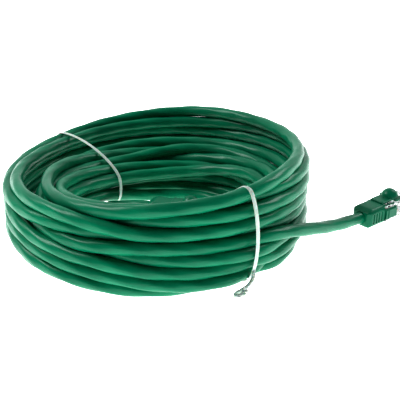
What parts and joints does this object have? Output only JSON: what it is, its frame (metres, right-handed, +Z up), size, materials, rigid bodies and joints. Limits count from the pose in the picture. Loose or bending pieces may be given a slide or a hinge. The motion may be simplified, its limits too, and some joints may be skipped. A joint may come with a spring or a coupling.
{
  "type": "ethernet patch cable",
  "caption": "Green ethernet patch cable hand-wound into a flat-lying round coil, held by two coated wire ties, with a clear latching plug in a snagless boot at each end.",
  "frame": {"origin": "centre of the coil's eye, on the surface that the coil lies on", "axes": "+Z up, along the coil's axis; +X in the horizontal direction of plug A, the plug outside the coil; +Y completes the frame"},
  "size_m": [0.2009, 0.146, 0.0388],
  "materials": {
    "jacket_pvc": "satin",
    "boot_pvc": "satin",
    "clear_plastic": "clear",
    "bar_plastic": "translucent",
    "gold_contacts": "gold plated",
    "copper": "bare",
    "tie_plastic": "satin",
    "tie_steel": "bare",
    "insulation_white_orange": "satin",
    "insulation_orange": "satin",
    "insulation_white_green": "satin",
    "insulation_blue": "satin",
    "insulation_white_blue": "satin",
    "insulation_green": "satin",
    "insulation_white_brown": "satin",
    "insulation_brown": "satin"
  },
  "bodies": {
    "cable": {"cable_coil": "jacket_pvc", "lead_a_jacket": "jacket_pvc", "lead_b_jacket": "jacket_pvc", "tie_left_ribbon": "tie_plastic", "tie_left_wire": "tie_steel", "tie_right_ribbon": "tie_plastic", "tie_right_wire": "tie_steel", "plug_a_boot": "boot_pvc", "plug_a_housing": "clear_plastic", "plug_a_contacts": "gold_contacts", "plug_a_load_bar": "bar_plastic", "plug_a_copper_cores": "copper", "plug_a_wire_white_orange": "insulation_white_orange", "plug_a_wire_orange": "insulation_orange", "plug_a_wire_white_green": "insulation_white_green", "plug_a_wire_blue": "insulation_blue", "plug_a_wire_white_blue": "insulation_white_blue", "plug_a_wire_green": "insulation_green", "plug_a_wire_white_brown": "insulation_white_brown", "plug_a_wire_brown": "insulation_brown", "plug_b_boot": "boot_pvc", "plug_b_housing": "clear_plastic", "plug_b_contacts": "gold_contacts", "plug_b_load_bar": "bar_plastic", "plug_b_copper_cores": "copper", "plug_b_wire_white_orange": "insulation_white_orange", "plug_b_wire_orange": "insulation_orange", "plug_b_wire_white_green": "insulation_white_green", "plug_b_wire_blue": "insulation_blue", "plug_b_wire_white_blue": "insulation_white_blue", "plug_b_wire_green": "insulation_green", "plug_b_wire_white_brown": "insulation_white_brown", "plug_b_wire_brown": "insulation_brown"},
    "hood_a": {"plug_a_boot_hood": "boot_pvc"},
    "latch_a": {"plug_a_latch": "clear_plastic"},
    "hood_b": {"plug_b_boot_hood": "boot_pvc"},
    "latch_b": {"plug_b_latch": "clear_plastic"}
  },
  "joints": [
    {"name": "hood_a_press", "type": "hinge", "parent": "cable", "child": "hood_a", "pos_m": [0.10815, 0.0016, 0.0098], "axis": [-0.6428, 0.766, 0], "range_deg": [0, 5.5], "stiffness_Nm_per_rad": 0.1},
    {"name": "latch_a_press", "type": "hinge", "parent": "cable", "child": "latch_a", "pos_m": [0.12332, 0.01433, 0.0081], "axis": [0.6428, -0.766, 0], "range_deg": [0, 11], "stiffness_Nm_per_rad": 0.02},
    {"name": "hood_b_press", "type": "hinge", "parent": "cable", "child": "hood_b", "pos_m": [0.00784, 0.00169, 0.0098], "axis": [0.342, 0.9397, 0], "range_deg": [0, 5.5], "stiffness_Nm_per_rad": 0.1},
    {"name": "latch_b_press", "type": "hinge", "parent": "cable", "child": "latch_b", "pos_m": [0.02645, -0.00508, 0.0081], "axis": [-0.342, -0.9397, 0], "range_deg": [0, 11], "stiffness_Nm_per_rad": 0.02}
  ],
  "couplings": [
    {"joint": "latch_a_press", "follows": "hood_a_press", "ratio": 2},
    {"joint": "latch_b_press", "follows": "hood_b_press", "ratio": 2}
  ]
}
